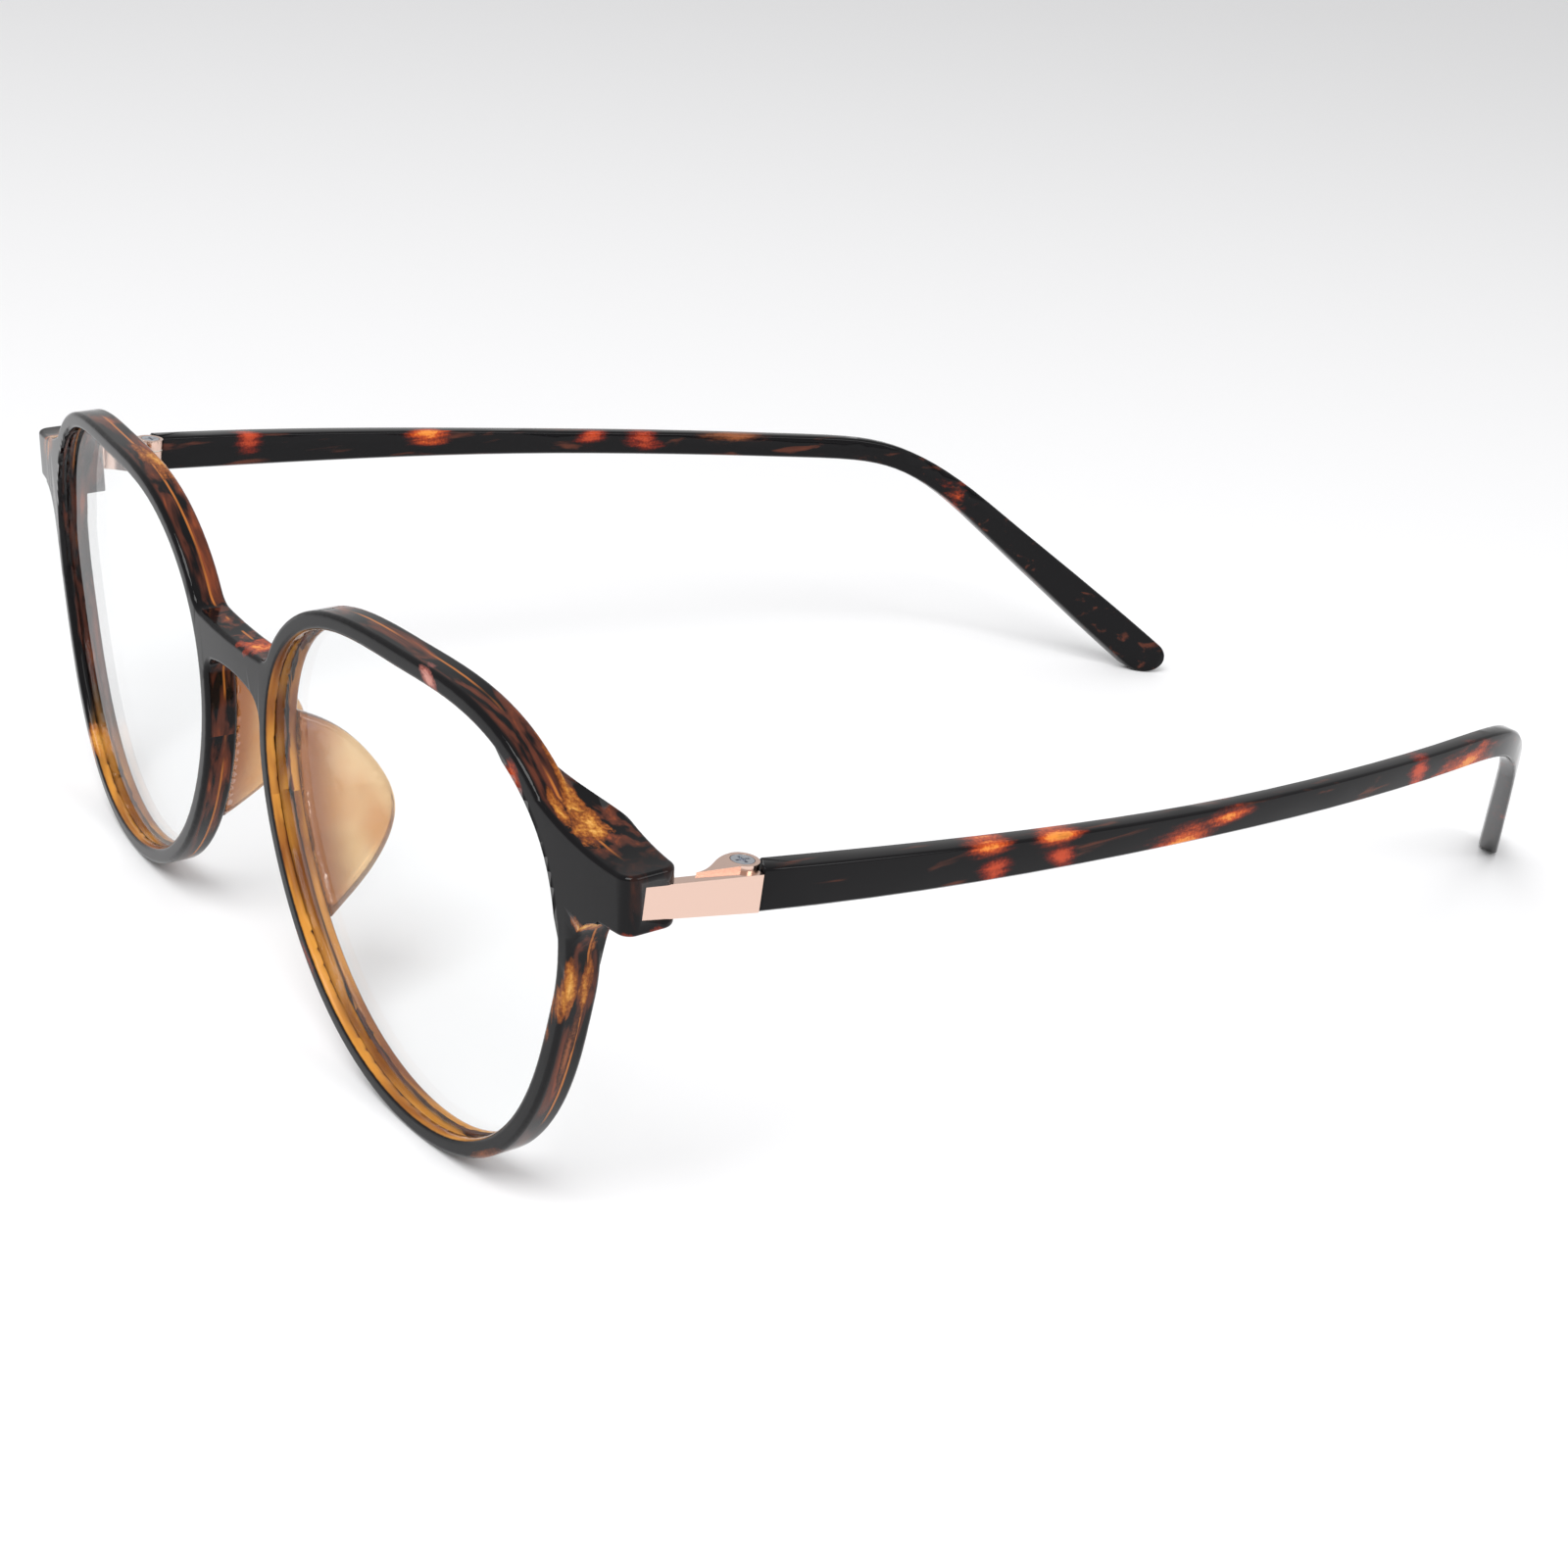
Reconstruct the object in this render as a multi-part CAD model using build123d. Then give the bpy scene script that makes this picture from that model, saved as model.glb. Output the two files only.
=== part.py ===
from build123d import *
import math
import os

os.makedirs("parts", exist_ok=True)

# Sizes in mm. The frame stands on Z = 0 on its rims and temple tips, with the temples open.
# The front faces -Y, the temples run to +Y and the object is even about X = 0.

# Front
lens_centre_from_middle = 33.0
opening_mean_radius = 23.0
rim_width = 1.8
rim_depth = 3.3
front_bend_radius = 419.0
front_lean_angle = 2.95
edge_round = 0.5

# Shape of a lens opening: how far its radius swells from the mean with the angle around it
swell_sideways = 0.80
swell_square = -0.55
swell_upper_corners = 1.28
swell_upwards = 1.29
swell_outwards = -0.91
swell_nose_corners = -0.44
swell_diagonal = -0.20
outline_points = 20

# Bridge between the rims
bridge_top_height = 0.57 * opening_mean_radius
bridge_height = 3.5
bridge_end_drop = 2.6
bridge_end_rise = 0.5
bridge_half_span = lens_centre_from_middle - opening_mean_radius - 0.5
bridge_blend_radius = 2.4

# Lugs that carry the hinges
lug_outer_x = lens_centre_from_middle + opening_mean_radius + 8.4
lug_top_height = 14.9
lug_height = 5.3
lug_rear_depth = 9.9
lug_inner_x = lug_outer_x - 6.9
lug_root_x = lug_outer_x - 17.4
lug_upper_root_angle = 60.0
lug_lower_root_angle = 8.0
lug_corner_round = 1.3
lug_edge_round = 0.4

# Demonstration lenses and the groove that holds them
lens_thickness = 1.2
groove_depth = 0.7
lens_clearance = 0.04
lens_bevel = 0.35
groove_from_front = 1.0

# Nose pads, bonded to the backs of the rims
pad_inner_growth = 0.15
pad_outer_growth = 2.15
pad_reach = 8.6
pad_top_height = 8.4
pad_bottom_height = -12.4
pad_splay = 0.20
pad_edge_round = 0.7

# Hinges
hinge_x = lug_outer_x - 2.4
hinge_y = 16.5
hinge_above_lens_centre = 11.6
temple_down_angle = 3.75
knuckle_radius = 1.45
barrel_height = 3.8
middle_knuckle_height = 1.3
washer_thickness = 0.12
washer_play = 0.02
pin_radius = 0.60
running_clearance = 0.05
bush_wall = 0.20
screw_head_radius = 1.0
screw_head_height = 0.55
driver_slot_width = 0.28
driver_slot_depth = 0.30
turning_gap = 0.22

# Metal end pieces
plate_outer_x = 2.3
plate_thickness = 1.15
plate_front_y = -10.6
plate_rear_y = 0.65
plate_front_rise = 1.85
plate_front_drop = 1.05
plate_rear_rise = 1.45
plate_rear_drop = 1.9
flare_front_y = -5.2
foot_length = 3.6
foot_width = 1.5
foot_height = 1.8
foot_barb = 0.35
foot_from_front = 1.1

# Temples
temple_front_y = 0.9
temple_start_x = 1.1
temple_thickness = 2.4
temple_slim_thickness = 1.9
temple_front_height = 3.9
temple_slim_height = 2.9
temple_bow_slope = 0.0886
temple_bow_curve = 0.00171
ear_bend_y = 105.0
ear_bend_half_length = 9.0
tip_x = -29.6
tip_y = 134.0
tip_radius = 2.35
tip_thickness = 2.3
temple_edge_bevel = 0.3
band_points = 18

# Hinge leaves and the wire cores inside the temples
leaf_thickness = 0.8
leaf_x = 0.95
leaf_length = 9.0
leaf_angle = 5.0
socket_width = 1.5
core_radius = 0.45
core_clearance = 0.03
core_end_y = 92.0
core_socket = 1.6

far_outside = 60.0


def opening_radius(angle):
    turn = math.radians(angle)
    radius = opening_mean_radius
    radius += swell_sideways * math.cos(2 * turn)
    radius += swell_square * math.cos(4 * turn)
    radius += swell_upper_corners * math.sin(3 * turn)
    radius += swell_upwards * math.sin(turn)
    radius += swell_outwards * math.cos(turn)
    radius += swell_nose_corners * math.cos(3 * turn)
    radius += swell_diagonal * math.sin(2 * turn)
    return radius


def rim_point(angle, growth):
    """Point of the right rim at an angle from +X, growth mm outside the edge of the opening."""
    radius = opening_radius(angle) + growth
    x = lens_centre_from_middle + radius * math.cos(math.radians(angle))
    z = radius * math.sin(math.radians(angle))
    return (x, z)


def rim_face(growth):
    """Flat face of the opening, grown by growth mm, in the XZ plane."""
    angles = [360 * step / outline_points for step in range(outline_points)]
    edge = Spline(*[rim_point(angle, growth) for angle in angles], periodic=True)
    return Plane.XZ * make_face(edge)


def backwards(face):
    """Solid that a face in the XZ plane sweeps on its way to +Y, from in front of the frame."""
    return extrude(Pos(0, -far_outside / 2, 0) * face, amount=far_outside, dir=(0, 1, 0))


def bent_layer(from_front, to_front):
    """Layer of the bent front between two depths behind its front surface."""
    height = 2 * far_outside
    outer = Cylinder(front_bend_radius - from_front, height)
    inner = Cylinder(front_bend_radius - to_front, height)
    reach = Box(4 * far_outside, 2 * far_outside, height)
    return (Pos(0, front_bend_radius, 0) * (outer - inner)) & reach


def mirrored(shape):
    return mirror(shape, about=Plane.YZ)


def bridge_face():
    """Bar between the rims with a flat top and an arched underside."""
    low = bridge_top_height - bridge_height
    top_left = (-bridge_half_span, bridge_top_height + bridge_end_rise)
    top_right = (bridge_half_span, bridge_top_height + bridge_end_rise)
    low_left = (-bridge_half_span, low - bridge_end_drop)
    low_right = (bridge_half_span, low - bridge_end_drop)
    top = ThreePointArc(top_left, (0, bridge_top_height), top_right)
    right = Line(top_right, low_right)
    under = ThreePointArc(low_right, (0, low), low_left)
    left = Line(low_left, top_left)
    return Plane.XZ * make_face([top, right, under, left])


def lug_front_face():
    """Front view of the lug: it leaves the rim as a curve and ends at the hinge side."""
    top_root = rim_point(lug_upper_root_angle, rim_width - 0.3)
    low_root = rim_point(lug_lower_root_angle, rim_width - 0.3)
    low_height = lug_top_height - lug_height
    top_corner = (lug_outer_x - 1.5, lug_top_height)
    low_corner = (lug_outer_x - 3.4, low_height)
    inside = rim_point((lug_upper_root_angle + lug_lower_root_angle) / 2, 0)
    top = Spline(top_root, top_corner, tangents=[(1, -0.62), (1, -0.05)])
    top_end = Line(top_corner, (lug_outer_x, lug_top_height))
    side = Line((lug_outer_x, lug_top_height), (lug_outer_x, low_height))
    low_end = Line((lug_outer_x, low_height), low_corner)
    low = Spline(low_corner, low_root, tangents=[(-1, -0.15), (-0.3, -1)])
    back = Polyline(low_root, inside, top_root)
    return Plane.XZ * make_face([top, top_end, side, low_end, low, back])


def lug_plan_face():
    """View of the lug from above: wide at the rear, with its inner side run out into the rim."""
    root_y = lug_root_x**2 / (2 * front_bend_radius) + rim_depth - 0.6
    rear_start = (lug_inner_x, lug_rear_depth)
    rear = Line((lug_outer_x, lug_rear_depth), rear_start)
    inner = Spline(rear_start, (lug_root_x, root_y), tangents=[(-1, -0.25), (-1, -0.15)])
    front = Polyline((lug_root_x, root_y), (lug_root_x, 0), (lug_outer_x, 0))
    side = Line((lug_outer_x, 0), (lug_outer_x, lug_rear_depth))
    return make_face([rear, inner, front, side])


def lug():
    """One lug, cut to the bent front surface, with its outer front corner rounded."""
    plan = extrude(Pos(0, 0, -far_outside) * lug_plan_face(), amount=2 * far_outside)
    block = backwards(lug_front_face()) & plan
    block = block & bent_layer(0, far_outside / 4)
    under_height = lug_top_height - lug_height - far_outside
    under = Pos(0, 0, under_height) * Box(4 * far_outside, far_outside, 2 * far_outside)
    block = block - (under & bent_layer(rim_depth, far_outside / 4))
    upright = block.edges().filter_by(Axis.Z).group_by(Axis.X)[-1]
    block = fillet(upright, lug_corner_round)
    outer = block.edges().filter_by(lambda edge: (edge @ 0.5).X > lug_outer_x - 4)
    return fillet(outer, lug_edge_round)


def rounded_rims():
    """Both rims and the bridge, with the bridge blended in and the long edges rounded."""
    right_rim = rim_face(rim_width)
    outline = right_rim + mirrored(right_rim) + bridge_face()
    outline = outline - rim_face(0) - mirrored(rim_face(0))
    rims = backwards(outline) & bent_layer(0, rim_depth)
    corners = [edge for edge in rims.edges().filter_by(Axis.Y)
               if abs(edge.center().X) < bridge_half_span]
    rims = fillet(corners, bridge_blend_radius)
    long_edges = rims.edges().filter_by(lambda edge: not is_across(edge))
    return fillet(long_edges, edge_round)


def is_across(edge):
    """True for an edge that runs from the front surface to the back one."""
    start = edge @ 0
    end = edge @ 1
    return abs((end - start).Y) > rim_depth / 2 and abs((end - start).X) < rim_depth


def front_blank(rims):
    """Both rims, the bridge and the lugs as one solid, without grooves or recesses."""
    right_lug = lug() - backwards(rim_face(0))
    return rims + right_lug + mirrored(right_lug)


def lens():
    """Right demonstration lens: a bent sheet with a bevelled edge, held in the rim's groove."""
    front_depth = groove_from_front + lens_clearance
    sheet = bent_layer(front_depth, front_depth + lens_thickness)
    blank = backwards(rim_face(groove_depth - lens_clearance)) & sheet
    around = blank.edges().filter_by(lambda edge: edge.length > 2 * opening_mean_radius)
    return chamfer(around, lens_bevel)


def lens_groove():
    layer = bent_layer(groove_from_front, groove_from_front + lens_thickness + 2 * lens_clearance)
    return backwards(rim_face(groove_depth)) & layer


def pad():
    """Right nose pad: a wall that follows the nose side of the rim, leans outwards and is D-shaped."""
    band = rim_face(pad_outer_growth) - rim_face(pad_inner_growth)
    wall = extrude(band, amount=2 * pad_reach, dir=(pad_splay, 1, 0))
    middle = (pad_top_height + pad_bottom_height) / 2
    start = rim_depth - 1
    end = rim_depth + pad_reach
    low = Spline(
        (start, pad_bottom_height), (end - 2.6, middle - 5.2), (end, middle - 0.4),
        (end - 2.6, middle + 5.6), (start, pad_top_height),
        tangents=[(0.7, 0.5), (-0.8, 0.35)],
    )
    front = Line((start, pad_top_height), (start, pad_bottom_height))
    side_view = Plane.YZ * make_face([low, front])
    profile = extrude(side_view, amount=lens_centre_from_middle - 10, dir=(1, 0, 0))
    solid = (wall & profile) - bent_layer(-far_outside / 8, rim_depth)
    bonded = rim_depth + pad_edge_round
    free_edges = solid.edges().filter_by(lambda edge: edge.center().Y > bonded)
    return fillet(free_edges, pad_edge_round)


def at_hinge(shape):
    """Move a shape from the right hinge's own frame to its place; there +Y runs down the temple."""
    return Pos(hinge_x, hinge_y, hinge_z) * Rot(X=-temple_down_angle) * shape


def plate_side_face():
    """Side view of the metal plate, a little taller at the rear."""
    corners = [
        (plate_front_y, -plate_front_drop), (plate_rear_y, -plate_rear_drop),
        (plate_rear_y, plate_rear_rise), (plate_front_y, plate_front_rise),
    ]
    return Plane.YZ * make_face(Polyline(*corners, close=True))


def plate():
    """Visible plate of the metal end piece."""
    inner_x = plate_outer_x - plate_thickness
    return extrude(Pos(inner_x, 0, 0) * plate_side_face(), amount=plate_thickness, dir=(1, 0, 0))


def recess():
    """Room for the plate in the lug, open to the side."""
    inner_x = plate_outer_x - plate_thickness
    open_side = plate_thickness + lug_outer_x - hinge_x
    return extrude(Pos(inner_x, 0, 0) * plate_side_face(), amount=open_side, dir=(1, 0, 0))


def foot():
    """Barbed foot that the front is moulded around."""
    end_x = plate_outer_x - plate_thickness - foot_length
    start_y = plate_front_y + foot_from_front
    stem = Box(
        foot_length, foot_width - 2 * foot_barb, foot_height,
        align=(Align.MIN, Align.CENTER, Align.CENTER),
    )
    barb = Box(
        foot_width / 2, foot_width, foot_height,
        align=(Align.MIN, Align.CENTER, Align.CENTER),
    )
    return Pos(end_x, start_y + foot_width / 2, 0) * (stem + barb)


def knuckle_layer(low, high, radius):
    return Pos(0, 0, low) * Cylinder(
        radius, high - low, align=(Align.CENTER, Align.CENTER, Align.MIN)
    )


def flare():
    """The plate's inner side swells into the two hinge knuckles."""
    inner_x = plate_outer_x - plate_thickness
    flare_curve = Spline(
        (inner_x, flare_front_y), (-knuckle_radius, 0),
        tangents=[(-0.15, 1), (-0.1, 1)],
    )
    rest = Polyline((-knuckle_radius, 0), (0, 0), (inner_x, plate_rear_y), (inner_x, flare_front_y))
    outline = make_face([flare_curve, rest])
    return extrude(Pos(0, 0, -barrel_height / 2) * outline, amount=barrel_height)


def middle_half():
    return middle_knuckle_height / 2


def knuckle_gap_half():
    return middle_half() + washer_thickness + 2 * washer_play


def end_piece():
    """Rose gold end piece: plate, foot and the two outer knuckles of the hinge."""
    barrel = knuckle_layer(-barrel_height / 2, barrel_height / 2, knuckle_radius)
    body = barrel + flare() + plate() + foot()
    turning_room = knuckle_layer(
        -knuckle_gap_half(), knuckle_gap_half(), knuckle_radius + turning_gap
    )
    body = body - turning_room
    body = body - knuckle_layer(0, barrel_height, pin_radius + running_clearance)
    body = body - knuckle_layer(-barrel_height, 0, pin_radius)
    seat = barrel_height / 2 - screw_head_height
    return body - knuckle_layer(seat, barrel_height, screw_head_radius + running_clearance)


def hinge_screw():
    """Cross-head screw that is the hinge pin; its lower end holds in the bottom knuckle."""
    seat = barrel_height / 2 - screw_head_height
    shaft = knuckle_layer(-barrel_height / 2, seat, pin_radius)
    head = knuckle_layer(seat, barrel_height / 2, screw_head_radius)
    top = barrel_height / 2
    slot_length = 1.35 * screw_head_radius
    slot = Box(slot_length, driver_slot_width, 2 * driver_slot_depth)
    cross = Pos(0, 0, top) * (slot + Rot(Z=90) * slot)
    return shaft + head - cross


def washer(above):
    low = middle_half() + washer_play
    ring = knuckle_layer(low, low + washer_thickness, knuckle_radius - 0.05)
    ring = ring - knuckle_layer(0, barrel_height, pin_radius + running_clearance)
    return ring if above else mirror(ring, about=Plane.XY)


def bush_radius():
    return pin_radius + running_clearance + bush_wall


def bush():
    tube = knuckle_layer(-middle_half(), middle_half(), bush_radius())
    return tube - knuckle_layer(-barrel_height, barrel_height, pin_radius + running_clearance)


def temple_centre_x(y):
    """The arm bows outwards a little behind the hinge, then runs inwards to the ear."""
    along = y - temple_front_y
    return temple_start_x + temple_bow_slope * along - temple_bow_curve * along**2


def core_path():
    """One arc that keeps to the middle of the bowed arm."""
    first = leaf_length - core_socket
    middle = (first + core_end_y) / 2
    return ThreePointArc(*[(temple_centre_x(y), y, 0) for y in (first, middle, core_end_y)])


def wire_along_arm(radius):
    path = core_path()
    section = Plane(origin=path @ 0, z_dir=path % 0) * Circle(radius)
    return sweep(section, path=path)


def wire_core():
    """Stiffening wire that runs inside the arm from the hinge leaf towards the ear bend."""
    return wire_along_arm(core_radius)


def temple_hinge():
    """Middle knuckle with a leaf that is let into the temple."""
    knuckle = knuckle_layer(-middle_half(), middle_half(), knuckle_radius)
    along_temple = (Align.CENTER, Align.MIN, Align.CENTER)
    leaf = Pos(leaf_x, 0, 0) * Rot(Z=-leaf_angle) * Box(
        leaf_thickness, leaf_length, middle_knuckle_height, align=along_temple
    )
    socket_length = core_socket + 0.3
    socket = Pos(temple_centre_x(leaf_length), leaf_length - socket_length, 0) * Box(
        socket_width, socket_length, middle_knuckle_height, align=along_temple
    )
    body = knuckle + leaf + socket
    body = body - knuckle_layer(-barrel_height, barrel_height, bush_radius())
    return body - wire_along_arm(core_radius)


def tip_height():
    """Height of the tip's centre in the hinge's frame that stands its round end on the table."""
    down = math.radians(temple_down_angle)
    return (tip_radius - hinge_z + tip_y * math.sin(down)) / math.cos(down)


def temple_line(arm_value, tip_value):
    """Centre line of the temple in one view: the arm, the rounded ear bend and the straight drop."""
    arm_end = ear_bend_y - ear_bend_half_length
    drop_start = ear_bend_y + ear_bend_half_length
    arm_points = [
        (y, arm_value(y))
        for y in (temple_front_y, arm_end / 4, arm_end / 2, arm_end * 3 / 4, arm_end)
    ]
    bend_value = arm_value(ear_bend_y)
    drop_slope = (tip_value - bend_value) / (tip_y - ear_bend_y)
    drop_point = (drop_start, bend_value + drop_slope * ear_bend_half_length)
    arm_slope = arm_value(arm_end) - arm_value(arm_end - 1)
    arm = Spline(*arm_points)
    bend = Spline(arm_points[-1], drop_point, tangents=[(1, arm_slope), (1, drop_slope)])
    return Wire([arm, bend, Line(drop_point, (tip_y, tip_value))])


def width_at(share, stations):
    """Half width at a share of the length, run smoothly from station to station."""
    for (start, first), (end, second) in zip(stations, stations[1:]):
        if share <= end:
            step = (share - start) / (end - start)
            return first + (second - first) * step * step * (3 - 2 * step)
    return stations[-1][1]


def band_face(line, stations, round_end):
    """Face along a line whose half width is given at stations of (share of the length, mm)."""
    left = []
    right = []
    for step in range(band_points + 1):
        share = step / band_points
        heading = line % share
        across = Vector(-heading.Y, heading.X) * width_at(share, stations)
        left.append((line @ share) + across)
        right.append((line @ share) - across)
    heading = line % 1
    if round_end:
        beyond = (line @ 1) + heading * stations[-1][1]
        end = ThreePointArc(left[-1], beyond, right[-1])
    else:
        past_tip = heading * tip_radius * 1.5
        end = Polyline(left[-1], left[-1] + past_tip, right[-1] + past_tip, right[-1])
    return make_face([Spline(*left), end, Spline(*right), Line(left[0], right[0])])


def temple():
    """Slim arm with a thicker rounded tip, notched at the front to clear the hinge barrel."""
    side_line = temple_line(lambda y: 0, tip_height())
    slim = temple_slim_height / 2
    heights = [(0, temple_front_height / 2), (0.4, slim), (0.75, slim), (1, tip_radius)]
    side_face = Plane.YZ * band_face(side_line, heights, True)
    plan_line = temple_line(temple_centre_x, tip_x)
    thin = temple_slim_thickness / 2
    widths = [(0, temple_thickness / 2), (0.4, thin), (0.75, thin), (1, tip_thickness / 2)]
    plan_face = Plane(origin=(0, 0, 0), x_dir=(0, 1, 0), z_dir=(0, 0, -1)) * band_face(
        plan_line, widths, False
    )
    seen_from_side = extrude(Pos(-far_outside, 0, 0) * side_face, amount=2 * far_outside,
                             dir=(1, 0, 0))
    seen_from_above = extrude(Pos(0, 0, -far_outside) * plan_face, amount=2 * far_outside,
                              dir=(0, 0, 1))
    arm = seen_from_side & seen_from_above
    long_edges = arm.edges().filter_by(lambda edge: edge.length > tip_y)
    return chamfer(long_edges, temple_edge_bevel)


def notched_temple():
    """The arm with room for the barrel, the hinge leaf and the core."""
    room = knuckle_layer(-far_outside, far_outside, knuckle_radius + turning_gap)
    return temple() - room - temple_hinge() - wire_along_arm(core_radius + core_clearance)


def standing(shape):
    """Lean a shape of the front by the front's angle, at the height where the rims meet Z = 0."""
    return Pos(0, 0, rim_centre_height) * Rot(X=front_lean_angle) * shape


def save_pair(name, right_shape):
    """Write the right-hand piece and its mirror image, both moved to the middle of the frame."""
    for side, shape in (("right", right_shape), ("left", mirrored(right_shape))):
        placed = Pos(0, -middle_y, 0) * shape
        placed.label = f"{name}_{side}"
        export_step(placed, f"parts/{name}_{side}.step")


rims = rounded_rims()
rim_centre_height = -(Rot(X=front_lean_angle) * rims).bounding_box().min.Z
hinge_z = rim_centre_height + hinge_above_lens_centre
blank = front_blank(rims)
right_end_piece = at_hinge(end_piece())
insert = at_hinge(recess() + foot())
standing_groove = standing(lens_groove())
front = standing(blank) - standing_groove - mirrored(standing_groove)
front = front - insert - mirrored(insert)

right_temple = at_hinge(notched_temple())
middle_y = (front.bounding_box().min.Y + right_temple.bounding_box().max.Y) / 2

placed_front = Pos(0, -middle_y, 0) * front
placed_front.label = "front"
export_step(placed_front, "parts/front.step")
save_pair("demo_lens", standing(lens()))
save_pair("nose_pad", standing(pad()))
save_pair("end_piece", right_end_piece)
save_pair("hinge_screw", at_hinge(hinge_screw()))
save_pair("upper_washer", at_hinge(washer(True)))
save_pair("lower_washer", at_hinge(washer(False)))
save_pair("hinge_bush", at_hinge(bush()))
save_pair("temple_hinge", at_hinge(temple_hinge()))
save_pair("temple_core", at_hinge(wire_core()))
save_pair("temple", right_temple)
print("hinge axis point", hinge_x, hinge_y - middle_y, hinge_z)
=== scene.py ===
import bpy, math
from mathutils import Matrix, Vector


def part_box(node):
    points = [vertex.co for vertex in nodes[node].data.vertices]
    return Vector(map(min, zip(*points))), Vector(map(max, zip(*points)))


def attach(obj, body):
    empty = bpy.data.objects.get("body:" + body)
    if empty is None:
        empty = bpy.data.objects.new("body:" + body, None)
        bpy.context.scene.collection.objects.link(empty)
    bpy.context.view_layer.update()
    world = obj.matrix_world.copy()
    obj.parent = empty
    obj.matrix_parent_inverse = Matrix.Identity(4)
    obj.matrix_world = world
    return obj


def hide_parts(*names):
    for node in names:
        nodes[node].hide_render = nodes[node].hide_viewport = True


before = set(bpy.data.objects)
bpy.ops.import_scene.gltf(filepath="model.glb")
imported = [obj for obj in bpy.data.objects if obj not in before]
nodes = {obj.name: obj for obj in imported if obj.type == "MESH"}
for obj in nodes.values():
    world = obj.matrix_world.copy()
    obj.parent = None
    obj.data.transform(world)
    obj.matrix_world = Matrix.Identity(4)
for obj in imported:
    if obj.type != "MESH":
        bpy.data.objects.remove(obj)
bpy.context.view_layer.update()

mm = 0.001
sides = ("right", "left")


def deselectAll():
    bpy.ops.object.select_all(action="DESELECT")


def pickOnly(piece):
    deselectAll()
    piece.select_set(True)
    bpy.context.view_layer.objects.active = piece


def hexColour(code):
    # an sRGB hex value turned linear
    parts = [int(code[i:i + 2], 16) / 255 for i in (1, 3, 5)]
    linear = [c / 12.92 if c <= 0.04045 else ((c + 0.055) / 1.055) ** 2.4 for c in parts]
    return (*linear, 1.0)


def addNode(material, kind, inputs=(), output=0, stops=(), **settings):
    # one node with its settings and what feeds or fills its sockets; gives one output, or all for None
    node = material.node_tree.nodes.new("ShaderNode" + kind)
    for name, value in settings.items():
        setattr(node, name, value)
    for key, value in (inputs.items() if isinstance(inputs, dict) else enumerate(inputs)):
        if isinstance(value, bpy.types.NodeSocket):
            material.node_tree.links.new(value, node.inputs[key])
        else:
            node.inputs[key].default_value = value
    if stops:
        marks = node.color_ramp.elements
        for mark, (spot, code) in ((marks[0], stops[0]), (marks[1], stops[-1])):
            mark.position, mark.color = spot, hexColour(code)
        for spot, code in stops[1:-1]:
            marks.new(spot).color = hexColour(code)
    return node.outputs if output is None else node.outputs[output]


def newMaterial(name):
    material = bpy.data.materials.new(name)
    material.use_nodes = True
    material.node_tree.nodes.clear()
    return material


# the form of the rims, which the front's pattern and the lenses both follow
rimForm = {
    "radius": 24,                # mm, the middle of a rim's wall
    "bendRadius": 419,           # mm, the front bends back to the sides
    "lean": 2.95,                # degrees, the front leans back
    "frontFace": -75.1,          # mm, where its front face meets the middle
}
tortoiseSheet = {
    "black": "#0b0a0c",          # the ground
    "brown": "#522a1e",          # streaks in the ground
    "redBrown": "#8a4426",       # the lightest streaks
    "streakWidth": 1.3,          # mm across a streak
    "streakLength": 11,          # mm along a streak
    "grainSize": 0.30,           # mm, the grains in an amber patch
    "baySize": 1.14,             # mm, the bays in a patch's edge
    "bayDepth": 2.2,             # how deep they cut, in half sizes of the patch
    "grainDepth": 0.9,           # how far the grain breaks up a patch's tones, in the same
    "toneEdge": (2.7, 1.5),      # from a patch's dark rim to its light middle
    "innerLight": 0.15,          # how much light the amber lets in
    "waveSize": 7,               # mm, the long waves that tumbling leaves
    "waveHeight": 0.05,          # mm
    "waveStrength": 0.15,
    "roughness": (0.064, 0.112), # on the crests and in the hollows of the waves
    "tones": {
        "gold": ((0.0, "#4a2210"), (0.35, "#8a4c1e"), (0.7, "#b87a32"), (1.0, "#d6a052")),
        "orange": ((0.0, "#3a1010"), (0.35, "#7a2a14"), (0.75, "#b84a1c"), (1.0, "#e08a3a")),
        "red": ((0.0, "#2c0c0c"), (0.45, "#6a1c10"), (1.0, "#b84424")),
        "brown": ((0.0, "#241210"), (0.5, "#58301c"), (1.0, "#8a5030")),
        "pink": ((0.0, "#3a2422"), (0.5, "#8a5048"), (1.0, "#c4887c")),
    },
}


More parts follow.
